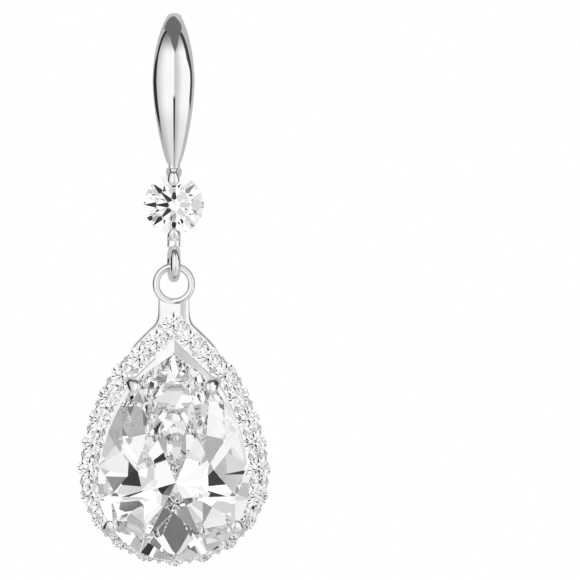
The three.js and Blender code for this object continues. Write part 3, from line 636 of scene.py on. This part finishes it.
PENDANT = Matrix.Translation(side(-HANG_FORWARD, PIVOT_HEIGHT)) @ Matrix.Rotation(
    math.radians(PENDANT_TILT), 4, "X"
)


def pear_rail(section, half_steps=OUTLINE_STEPS):
    """Closed rail along a pear outline. Each corner of its section is a line,
    how far inside it the corner runs, its depth and the line's height. A depth
    can be a list with one value for each point of the line."""
    corners = []
    for line, inset, depth, height in section:
        corner = []
        for i, p in enumerate(pear_points(line, inset, half_steps)):
            deep = depth[i] if isinstance(depth, list) else depth
            corner.append(Vector((p.x, -deep, p.y + height)))
        corners.append(corner)
    return loft([list(ring) for ring in zip(*corners)], closed=True)


def halo_rail():
    half = RAIL_WIDTH / 2
    middle = (RAIL_FRONT - RAIL_BACK) / 2
    reach = (RAIL_FRONT + RAIL_BACK) / 2
    section = []
    for across, deep in around(RING_SIDES, RAIL_POWER):
        section.append((HALO_LINE, half * across, middle + reach * deep, HALO_MIDDLE))
    return pear_rail(section)


def gallery_wall():
    """Wall inside the halo with a shelf out to the pear's edge, sloping in and
    forward along the shoulders, and a seat under the pear."""
    half = WALL_THICKNESS / 2
    knee = HALO_GIRDLE + crown_height(HALO_DIAMETER, 0) + STONE_GAP

    def edge(p, ledge):
        inside = smooth(0, half, abs(p.x) - abs(ledge.x))
        up = smooth(SHELF_DROP_START, SHELF_DROP_END, p.y / HALO_LINE["top"])
        return knee - SHELF_DROP * inside * up

    def seat(inset):
        return PEAR_UNDER - inset * PAVILION_SLOPE - 2 * STONE_GAP

    def low(inset, depth):
        return HALO_LINE, inset, depth, HALO_MIDDLE

    def high(inset, depth):
        return PEAR_LINE, inset, depth, PEAR_MIDDLE

    outer = pear_points(HALO_LINE, WALL_INSET - half, OUTLINE_STEPS)
    ledges = pear_points(PEAR_LINE, WALL_LEDGE, OUTLINE_STEPS)
    edges = [edge(p, ledge) for p, ledge in zip(outer, ledges)]
    return pear_rail([
        low(WALL_INSET - half, -RAIL_BACK),
        low(WALL_INSET - half, edges),
        high(WALL_LEDGE, knee + SHELF_RISE),
        high(WALL_LEDGE, seat(WALL_LEDGE)),
        high(WALL_LEDGE + WALL_THICKNESS, seat(WALL_LEDGE + WALL_THICKNESS)),
        low(WALL_INSET + half, [depth - half for depth in edges]),
        low(WALL_INSET + half, -RAIL_BACK),
    ])


def back_ring():
    line = {key: value * BACK_RING_SHARE for key, value in PEAR_LINE.items()}
    line["tip_angle"] = PEAR_LINE["tip_angle"]
    section = []
    for across, deep in around(ROD_SIDES):
        depth = BACK_RING_DEPTH + BACK_RING_RADIUS * (1 + deep)
        section.append((line, BACK_RING_RADIUS * across, depth, PEAR_MIDDLE))
    return pear_rail(section, OUTLINE_STEPS // 2)


def crossing(point, direction, outline):
    """Distance along a line, from a point, to where it crosses an outline."""
    nearest = math.inf
    for a, b in zip(outline, outline[1:] + outline[:1]):
        edge = b - a
        across = direction.cross(edge)
        if abs(across) < 1e-9:
            continue
        far = (a - point).cross(edge) / across
        share = (a - point).cross(direction) / across
        if 0 <= share <= 1 and abs(far) < abs(nearest):
            nearest = far
    return nearest


def pear_claws(share, lift):
    """Two mirrored claws that hold the pear, with the rods to the back ring."""
    place, tangent = pear_half(PEAR_LINE).at(share)
    out = Vector((-tangent.y, tangent.x))
    if out.x < 0:
        out.negate()
    shift = HALO_MIDDLE - PEAR_MIDDLE
    wall = [Vector((p.x, p.y + shift)) for p in pear_points(HALO_LINE, WALL_INSET, OUTLINE_STEPS)]
    foot = crossing(place, out, wall)
    reach = CLAW_RADIUS + STONE_GAP
    crown_slope = PEAR_CROWN / (PEAR_WIDTH / 2 * (1 - PEAR_TABLE))
    tip_depth = PEAR_PLANE + PEAR_GIRDLE / 2 + CLAW_REACH * crown_slope + reach * lift
    route = through([
        side(foot, -RAIL_BACK / 2),
        side(foot, HALO_GIRDLE + crown_height(HALO_DIAMETER, 0)),
        side(reach * CLAW_ASIDE, PEAR_PLANE - PEAR_GIRDLE),
        side(reach, PEAR_PLANE + PEAR_GIRDLE),
        side(-CLAW_REACH, tip_depth),
    ])

    def size_at(u, point):
        swell = smooth(CLAW_SWELL * CLAW_TIP, CLAW_TIP, (1 - u) * route.length)
        end = round_end((1 - u) * route.length, CLAW_TIP)
        return lerp(CLAW_RADIUS, CLAW_TIP, swell) * end, *(CLAW_RADIUS * end,) * 2

    shares = rounded_shares(route.length, ROD_STEPS, end_radius=CLAW_TIP)
    points, faces = sweep(route, shares, ROD_SIDES, size_at)
    made = []
    for flip in (1, -1):
        outward = Vector((flip * out.x, 0, out.y))
        forward = Vector((0, -1, 0))
        basis = Matrix((outward.cross(forward), outward, forward)).transposed().to_4x4()
        turned = Matrix.Translation((flip * place.x, 0, PEAR_MIDDLE + place.y)) @ basis
        made.append(([turned @ p for p in points], faces))
        end = Vector((
            flip * place.x * BACK_RING_SHARE,
            -BACK_RING_DEPTH - BACK_RING_RADIUS,
            PEAR_MIDDLE + place.y * BACK_RING_SHARE,
        ))
        made.append(rod(turned @ side(foot, -RAIL_BACK / 2), end, CLAW_RADIUS))
    return made


def eyelet():
    stretch = Matrix.Diagonal((1, EYELET_DEPTH / EYELET_BAND, 1, 1))
    place = Matrix.Translation((0, 0, EYELET_CENTRE)) @ stretch
    place @= Matrix.Rotation(math.pi / 2, 4, "X")
    return torus((EYELET_HOLE + EYELET_BAND) / 2, EYELET_BAND / 2, place, EYELET_POWER)


def eyelet_cutter():
    """Round block that keeps the neck's top out of the eyelet's hole."""
    radius = (EYELET_HOLE + EYELET_BAND) / 2
    profile = [(0, -NECK_WIDTH), (radius, -NECK_WIDTH), (radius, NECK_WIDTH), (0, NECK_WIDTH)]
    return lathe(profile, facing(0, EYELET_CENTRE), RING_STEPS)


def neck():
    """Rounded plate that meets the sides of the eyelet at its top, and at its
    bottom spreads along the two shoulders of the halo."""
    top = EYELET_CENTRE - (EYELET_HOLE + EYELET_BAND) / 4
    bottom = HALO_TIP - NECK_SPREAD
    route = Route([side(0, lerp(bottom, top, i / 20)) for i in range(21)])

    def size_at(u, point):
        half = NECK_WIDTH / 2 * read_table(NECK_SECTIONS, 1, u)
        front = RAIL_BACK * read_table(NECK_SECTIONS, 2, u)
        return half, front, front

    shares = [i / ROD_STEPS for i in range(ROD_STEPS + 1)]
    return sweep(route, shares, LEAF_SIDES, size_at, NECK_POWER)


def halo_places():
    """Places of the halo stones and of the bead prongs between them, all round."""
    route = pear_half(HALO_LINE)
    gaps = math.floor(route.length * (1 - HALO_SPREAD) / (HALO_DIAMETER + HALO_GAP))

    def place(i):
        t = i / gaps
        point, tangent = route.at(t * (1 - HALO_SPREAD * (1 - t)))
        return point.x, point.y + HALO_MIDDLE, Vector((-tangent.y, tangent.x))

    def both(places):
        left = [(-x, z, Vector((-out.x, out.y))) for x, z, out in places if x > 1e-6]
        return places + left

    return both([place(i) for i in range(gaps + 1)]), both([place(i + 0.5) for i in range(gaps)])


def facing(x, z):
    """Place of something whose own Z axis comes forward at a spot in the pendant."""
    return Matrix.Translation((x, 0, z)) @ Matrix.Rotation(math.pi / 2, 4, "X")


def stone_cup(x, z):
    """Small cup under a halo stone, with a softly rounded rim."""
    rim = RAIL_FRONT + CUP_ABOVE_RAIL
    profile = [(0, -RAIL_BACK)]
    profile += [(CUP_RADIUS * share, up - RAIL_BACK) for share, up in CUP_FOOT]
    profile += [(CUP_RADIUS * share, rim - down) for share, down in CUP_RIM]
    profile.append((0, rim))
    return lathe(profile, facing(x, z))


def seat_cutter(x, z):
    """Conical seat with a hole behind it, a little wider than the stone."""
    radius = HALO_DIAMETER / 2
    steep = 2 * CUT_PAVILION
    drop = CUT_GIRDLE * HALO_DIAMETER / 2 + STONE_GAP * math.hypot(1, steep)
    hole = radius * SEAT_HOLE
    rim = radius + STONE_GAP
    profile = [
        (0, -2 * RAIL_DEPTH),
        (hole, -2 * RAIL_DEPTH),
        (hole, HALO_GIRDLE - drop - (radius - hole) * steep),
        (rim, HALO_GIRDLE - drop + STONE_GAP * steep),
        (rim, HALO_GIRDLE + PEAR_RISE),
        (0, HALO_GIRDLE + PEAR_RISE),
    ]
    return lathe(profile, facing(x, z))


def bead_prong(x, z, out, offset):
    """Small upright prong with a round head between two halo stones."""
    top = HALO_GIRDLE + BEAD_HEIGHT
    profile = [(0, -RAIL_BACK * BEAD_FOOT), (BEAD_RADIUS, -RAIL_BACK * BEAD_FOOT)]
    for angle in BEAD_ANGLES:
        turn = math.radians(angle)
        profile.append((BEAD_RADIUS * math.cos(turn), top - BEAD_RADIUS * (1 - math.sin(turn))))
    profile.append((0, top))
    return lathe(profile, facing(x + out.x * offset, z + out.y * offset), BEAD_SIDES)


def pendant_metal():
    stones, gaps = halo_places()
    frame_shells = [halo_rail(), neck()]
    frame_shells += [stone_cup(x, z) for x, z, _ in stones]
    for x, z, out in gaps:
        frame_shells += [bead_prong(x, z, out, BEAD_OFFSET), bead_prong(x, z, out, -BEAD_OFFSET)]
    cutters = [eyelet_cutter(), *(seat_cutter(x, z) for x, z, _ in stones)]
    more = [gallery_wall(), back_ring(), eyelet()]
    for share, lift in CLAWS:
        more += pear_claws(share, lift)
    return fuse("pendant_metal", frame_shells, cutters, more, PENDANT)


def polish(obj, material, sharp=32):
    """Smooth shading that stays crisp along the real edges."""
    obj.data.materials.clear()
    obj.data.materials.append(material)
    obj.data.shade_smooth()
    obj.data.set_sharp_from_angle(angle=math.radians(sharp))


def new_material(name):
    material = bpy.data.materials.new(name)
    material.use_nodes = True
    nodes = material.node_tree.nodes
    return material, nodes, material.node_tree.links, nodes["Principled BSDF"]


# How fine the noise in the materials is
SILVER_TONE_NOISE = 450
SILVER_HAZE_NOISE = 900
SILVER_RIPPLE_NOISE = 1400
STONE_TONE_NOISE = 300
NOISE_LOW, NOISE_HIGH = 0.3, 0.7


def noise_range(nodes, links, scale, low, high, detail=3.0):
    """Noise in the piece's own space, read between two values."""
    place = nodes.new("ShaderNodeTexCoord")
    noise = nodes.new("ShaderNodeTexNoise")
    noise.inputs["Scale"].default_value = scale
    noise.inputs["Detail"].default_value = detail
    span = nodes.new("ShaderNodeMapRange")
    span.inputs["From Min"].default_value = NOISE_LOW
    span.inputs["From Max"].default_value = NOISE_HIGH
    span.inputs["To Min"].default_value = low
    span.inputs["To Max"].default_value = high
    links.new(place.outputs["Object"], noise.inputs["Vector"])
    links.new(noise.outputs["Fac"], span.inputs["Value"])
    return span.outputs["Result"]


def silver_material():
    """Bright plated silver with faint polishing haze and the odd soft ripple."""
    material, nodes, links, shader = new_material("polished_silver")
    shader.inputs["Metallic"].default_value = 1.0
    tone = nodes.new("ShaderNodeMix")
    tone.data_type = "RGBA"
    tone.inputs["A"].default_value = (0.86, 0.865, 0.875, 1)
    tone.inputs["B"].default_value = (0.93, 0.93, 0.935, 1)
    links.new(noise_range(nodes, links, SILVER_TONE_NOISE, 0, 1), tone.inputs["Factor"])
    links.new(tone.outputs["Result"], shader.inputs["Base Color"])
    haze = noise_range(nodes, links, SILVER_HAZE_NOISE, 0.02, 0.05, 5)
    links.new(haze, shader.inputs["Roughness"])
    bump = nodes.new("ShaderNodeBump")
    bump.inputs["Strength"].default_value = 0.012
    bump.inputs["Distance"].default_value = 0.02 * MM
    ripple = noise_range(nodes, links, SILVER_RIPPLE_NOISE, 0, 1, 2)
    links.new(ripple, bump.inputs["Height"])
    links.new(bump.outputs["Normal"], shader.inputs["Normal"])
    return material


def stone_material():
    """Clear cut stone: high refraction, hardly any tint, and a weak outer
    reflection, so that its dark facets stay dark."""
    material, nodes, links, shader = new_material("clear_stone")
    shader.inputs["Transmission Weight"].default_value = 1.0
    shader.inputs["IOR"].default_value = 2.15
    shader.inputs["Specular Tint"].default_value = (0.15, 0.15, 0.15, 1)
    shader.inputs["Roughness"].default_value = 0.0
    tone = nodes.new("ShaderNodeMix")
    tone.data_type = "RGBA"
    tone.inputs["A"].default_value = (0.985, 0.987, 0.992, 1)
    tone.inputs["B"].default_value = (1.0, 1.0, 1.0, 1)
    links.new(noise_range(nodes, links, STONE_TONE_NOISE, 0, 1), tone.inputs["Factor"])
    links.new(tone.outputs["Result"], shader.inputs["Base Color"])
    return material


# Where the stage and the camera stand, in metres. The frame is 580 pixels wide
# and the earring hangs left of its middle, at this many pixels from the left.
FRAME_PIXELS = 580
HANG_PIXEL = 173.5
TOP_PIXEL = 11.0
PIXEL = 0.086 * MM
CAMERA_DISTANCE = 0.5
SENSOR = 36
FOCUS_FORWARD = 1.5  # millimetres, plane that has the frame's scale
FLOOR_HEIGHT = -0.075
FLOOR_RADIUS = 0.45
FLOOR_GLOW = 0.4
DOME_RADIUS = 1.4
STONE_BOUNCES = 24

# Light on the dome. Azimuths are in degrees from the camera's side to the right,
# elevations in degrees up from the earring's middle. Four numbers are a value, the
# value that it softly changes to, and the two angles between which it does. Two
# numbers are the angles between which something softly begins or ends.
WALL_LIGHT = 0.55
BACKDROP_LIGHT = 0.6
BACKDROP_START = (140, 165)
LEFT_PANEL = (0.62, 1.06, -78, -22)
RIGHT_PANEL = (0.66, 1.06, 6, 36)
PANEL_SPLIT = (1, 3)
PANEL_SIDE = 77
PANEL_TOP = (1.0, 0.36, 34, 66)
PANEL_BOTTOM = (1.0, 0.74, -18, -42)
LEFT_FLAG_LIGHT = 0.03
RIGHT_FLAG_LIGHT = 0.06
FLAG_SOFTNESS = 3
LEFT_FLAG_START = (-76, -80)
LEFT_FLAG_END = (-100, -126, 24, 2)
LEFT_FLAG_BOTTOM = (-27, -20)
RIGHT_FLAG_START = (76, 58, 4, 28)
RIGHT_FLAG_END = (100, 86, 4, 28)
RIGHT_FLAG_BOTTOM = (-17, -12)
GAP_LIGHT = 0.02
GAP_AZIMUTHS = (-1.5, 5.5)
GAP_ELEVATIONS = (-38.5, -16)
GAP_SOFTNESS = (3, 4)
CEILING_LIGHT = 0.165
CEILING_FRONT = 67
CEILING_BEHIND = (50, 60, -0.05, 0.3)  # over metres to the right
CEILING_TURN = (80, 130)
CEILING_SOFTNESS = 2.5
NOTCH_AZIMUTH, NOTCH_HALF, NOTCH_DEPTH, NOTCH_POWER = 6, 42, 29, 1.7

# What only light paths through a stone see instead: another back and floor, and
# dark round flags, each with its azimuth, elevation and radius
INNER_BACK = (0.78, 0.99, -1, 1)
INNER_BACK_AZIMUTH = (140, 146)
INNER_BACK_TOP = (50, 46)
INNER_FLOOR = (0.43, 0.95, 0, 1)
INNER_FLOOR_TOP = (-41, -45)
INNER_FLOOR_AZIMUTH = (125, 120)
STONE_FLAGS = ((-3.5, 0.8, 6.5), (15.3, 31.7, 8.5), (35.6, -15.4, 6.1))
STONE_FLAG_LIGHT = 0.02
STONE_FLAG_SOFTNESS = 0.7


def make_camera():
    width = FRAME_PIXELS * PIXEL
    data = bpy.data.cameras.new("camera")
    data.sensor_width = SENSOR
    data.lens = SENSOR * CAMERA_DISTANCE / width
    data.clip_end = 10
    camera = bpy.data.objects.new("camera", data)
    right = (FRAME_PIXELS / 2 - HANG_PIXEL) * PIXEL
    height = WIRE * MM - (FRAME_PIXELS / 2 - TOP_PIXEL) * PIXEL
    front = -(HANG_FORWARD + FOCUS_FORWARD) * MM
    camera.location = (right, front - CAMERA_DISTANCE, height)
    camera.rotation_euler = (math.pi / 2, 0, 0)
    bpy.context.scene.collection.objects.link(camera)
    bpy.context.scene.camera = camera


class Formula:
    """Short writing of sums over a material's math nodes."""

    def __init__(self, tree):
        self.tree = tree

    def do(self, operation, *values):
        node = self.tree.nodes.new("ShaderNodeMath")
        node.operation = operation
        for socket, value in zip(node.inputs, values):
            if isinstance(value, (int, float)):
                socket.default_value = value
            else:
                self.tree.links.new(value, socket)
        return node.outputs[0]

    def step(self, value, low, high):
        """0 at low and 1 at high, with a soft change between, rising or falling."""
        node = self.tree.nodes.new("ShaderNodeMapRange")
        node.interpolation_type = "SMOOTHSTEP"
        node.inputs["From Min"].default_value = low
        node.inputs["From Max"].default_value = high
        self.tree.links.new(value, node.inputs["Value"])
        return node.outputs["Result"]

    def band(self, value, low, high, soft):
        """1 between low and high, with soft edges, and 0 outside."""
        rise = self.step(value, low - soft / 2, low + soft / 2)
        fall = self.step(value, high - soft / 2, high + soft / 2)
        return self.do("SUBTRACT", rise, fall)

    def mix(self, base, over, share):
        """Base, replaced by over where the share is 1."""
        gap = self.do("SUBTRACT", over, base)
        return self.do("MULTIPLY_ADD", gap, share, base)

    def ramp(self, value, start, end, low, high):
        """Start where the value is low, and end where it is high."""
        return self.mix(start, end, self.step(value, low, high))

    def both(self, a, b):
        return self.do("MULTIPLY", a, b)

    def less(self, a, b):
        return self.do("SUBTRACT", a, b)

    def distance(self, a, b):
        return self.do("SQRT", self.do("ADD", self.both(a, a), self.both(b, b)))


def front_panels(do, light, azimuth, elevation):
    """Two large panels side by side in front, darker above and below."""
    left = do.ramp(azimuth, *LEFT_PANEL)
    right = do.ramp(azimuth, *RIGHT_PANEL)
    panel = do.mix(left, right, do.step(azimuth, *PANEL_SPLIT))
    top = do.ramp(elevation, *PANEL_TOP)
    bottom = do.ramp(elevation, *PANEL_BOTTOM)
    panel = do.both(do.both(panel, top), bottom)
    inside = do.band(do.do("ABSOLUTE", azimuth), -1, PANEL_SIDE, FLAG_SOFTNESS)
    return do.mix(light, panel, inside)


def side_flags(do, light, azimuth, elevation):
    """Dark flags beside the panels, and a dark gap low between them."""
    end = do.ramp(do.do("ABSOLUTE", elevation), *LEFT_FLAG_END)
    within = do.step(do.less(azimuth, end), -FLAG_SOFTNESS, FLAG_SOFTNESS)
    share = do.both(do.step(azimuth, *LEFT_FLAG_START), within)
    light = do.mix(light, LEFT_FLAG_LIGHT, do.both(share, do.step(elevation, *LEFT_FLAG_BOTTOM)))
    start = do.ramp(elevation, *RIGHT_FLAG_START)
    end = do.ramp(elevation, *RIGHT_FLAG_END)
    after = do.step(do.less(azimuth, start), -FLAG_SOFTNESS, FLAG_SOFTNESS)
    before = do.step(do.less(azimuth, end), FLAG_SOFTNESS, -FLAG_SOFTNESS)
    bottom = do.step(elevation, *RIGHT_FLAG_BOTTOM)
    light = do.mix(light, RIGHT_FLAG_LIGHT, do.both(do.both(after, before), bottom))
    across = do.band(azimuth, *GAP_AZIMUTHS, GAP_SOFTNESS[0])
    up = do.band(elevation, *GAP_ELEVATIONS, GAP_SOFTNESS[1])
    return do.mix(light, GAP_LIGHT, do.both(across, up))


def ceiling(do, light, azimuth, elevation, x):
    """Dim ceiling whose edge comes lower in a notch in front, and behind."""
    beside = do.do("DIVIDE", do.do("ABSOLUTE", do.less(azimuth, NOTCH_AZIMUTH)), NOTCH_HALF)
    near = do.less(1, do.do("MINIMUM", beside, 1))
    notch = do.both(do.do("POWER", near, NOTCH_POWER), NOTCH_DEPTH)
    behind = do.ramp(x, *CEILING_BEHIND)
    edge = do.mix(CEILING_FRONT, behind, do.step(do.do("ABSOLUTE", azimuth), *CEILING_TURN))
    above = do.less(elevation, do.less(edge, notch))
    return do.mix(light, CEILING_LIGHT, do.step(above, -CEILING_SOFTNESS, CEILING_SOFTNESS))


def light_in_stones(do, light, azimuth, elevation):
    """What light paths through a stone see: another light behind and below, and
    a few dark flags, so that its facets differ more."""
    aside = do.do("ABSOLUTE", azimuth)
    share = do.both(do.step(aside, *INNER_BACK_AZIMUTH), do.step(elevation, *INNER_BACK_TOP))
    light = do.mix(light, do.ramp(azimuth, *INNER_BACK), share)
    share = do.both(do.step(elevation, *INNER_FLOOR_TOP), do.step(aside, *INNER_FLOOR_AZIMUTH))
    light = do.mix(light, do.ramp(azimuth, *INNER_FLOOR), share)
    for over, up, radius in STONE_FLAGS:
        far = do.distance(do.less(azimuth, over), do.less(elevation, up))
        edge = radius + STONE_FLAG_SOFTNESS, radius - STONE_FLAG_SOFTNESS
        light = do.mix(light, STONE_FLAG_LIGHT, do.step(far, *edge))
    return light


def dome_material():
    """Soft studio light on the inside of a dome: two large panels in front, dark
    flags beside and between them, a dim ceiling and a pale wall behind."""
    material = bpy.data.materials.new("studio_dome")
    material.use_nodes = True
    tree = material.node_tree
    tree.nodes.clear()
    do = Formula(tree)
    place = tree.nodes.new("ShaderNodeTexCoord")
    split = tree.nodes.new("ShaderNodeSeparateXYZ")
    tree.links.new(place.outputs["Object"], split.inputs[0])
    x, y, z = split.outputs
    azimuth = do.do("DEGREES", do.do("ARCTAN2", x, do.both(y, -1)))
    elevation = do.do("DEGREES", do.do("ARCTAN2", z, do.distance(x, y)))
    light = do.ramp(do.do("ABSOLUTE", azimuth), WALL_LIGHT, BACKDROP_LIGHT, *BACKDROP_START)
    light = front_panels(do, light, azimuth, elevation)
    light = side_flags(do, light, azimuth, elevation)
    light = ceiling(do, light, azimuth, elevation, x)
    through = tree.nodes.new("ShaderNodeLightPath").outputs["Is Transmission Ray"]
    light = do.mix(light, light_in_stones(do, light, azimuth, elevation), through)
    shine = tree.nodes.new("ShaderNodeEmission")
    tree.links.new(light, shine.inputs["Strength"])
    output = tree.nodes.new("ShaderNodeOutputMaterial")
    tree.links.new(shine.outputs[0], output.inputs["Surface"])
    return material


def make_stage():
    world = bpy.data.worlds.new("studio")
    world.use_nodes = True
    world.node_tree.nodes["Background"].inputs["Color"].default_value = (1, 1, 1, 1)
    bpy.context.scene.world = world
    middle = (cad_low + cad_high) / 2
    made = bmesh.new()
    bmesh.ops.create_uvsphere(made, u_segments=64, v_segments=32, radius=DOME_RADIUS)
    mesh = bpy.data.meshes.new("dome")
    made.to_mesh(mesh)
    made.free()
    dome = bpy.data.objects.new("dome", mesh)
    dome.location = middle
    dome.visible_camera = False
    dome.data.materials.append(dome_material())
    made = bmesh.new()
    bmesh.ops.create_circle(made, cap_ends=True, segments=128, radius=FLOOR_RADIUS)
    mesh = bpy.data.meshes.new("floor")
    made.to_mesh(mesh)
    made.free()
    floor = bpy.data.objects.new("floor", mesh)
    floor.location = (middle.x, middle.y, FLOOR_HEIGHT)
    material, nodes, links, shader = new_material("pale_floor")
    shader.inputs["Base Color"].default_value = (0.9, 0.9, 0.9, 1)
    shader.inputs["Roughness"].default_value = 0.6
    shader.inputs["Emission Color"].default_value = (1, 1, 1, 1)
    shader.inputs["Emission Strength"].default_value = FLOOR_GLOW
    floor.data.materials.append(material)
    floor.visible_glossy = False
    floor.visible_transmission = False
    for obj in (dome, floor):
        bpy.context.scene.collection.objects.link(obj)
    bpy.context.scene.view_settings.view_transform = "Standard"
    paths = bpy.context.scene.cycles
    paths.max_bounces = STONE_BOUNCES
    paths.glossy_bounces = STONE_BOUNCES
    paths.transmission_bounces = STONE_BOUNCES


make_camera()
silver = silver_material()
crystal = stone_material()

hook = ear_hook()
polish(hook, silver)
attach(hook, "hook")
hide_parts("ear_hook")

pendant = pendant_metal()
polish(pendant, silver)
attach(pendant, "pendant")
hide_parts("pendant_setting")

for name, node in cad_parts.items():
    if "stone" in name:
        node.data.materials.clear()
        node.data.materials.append(crystal)

make_stage()
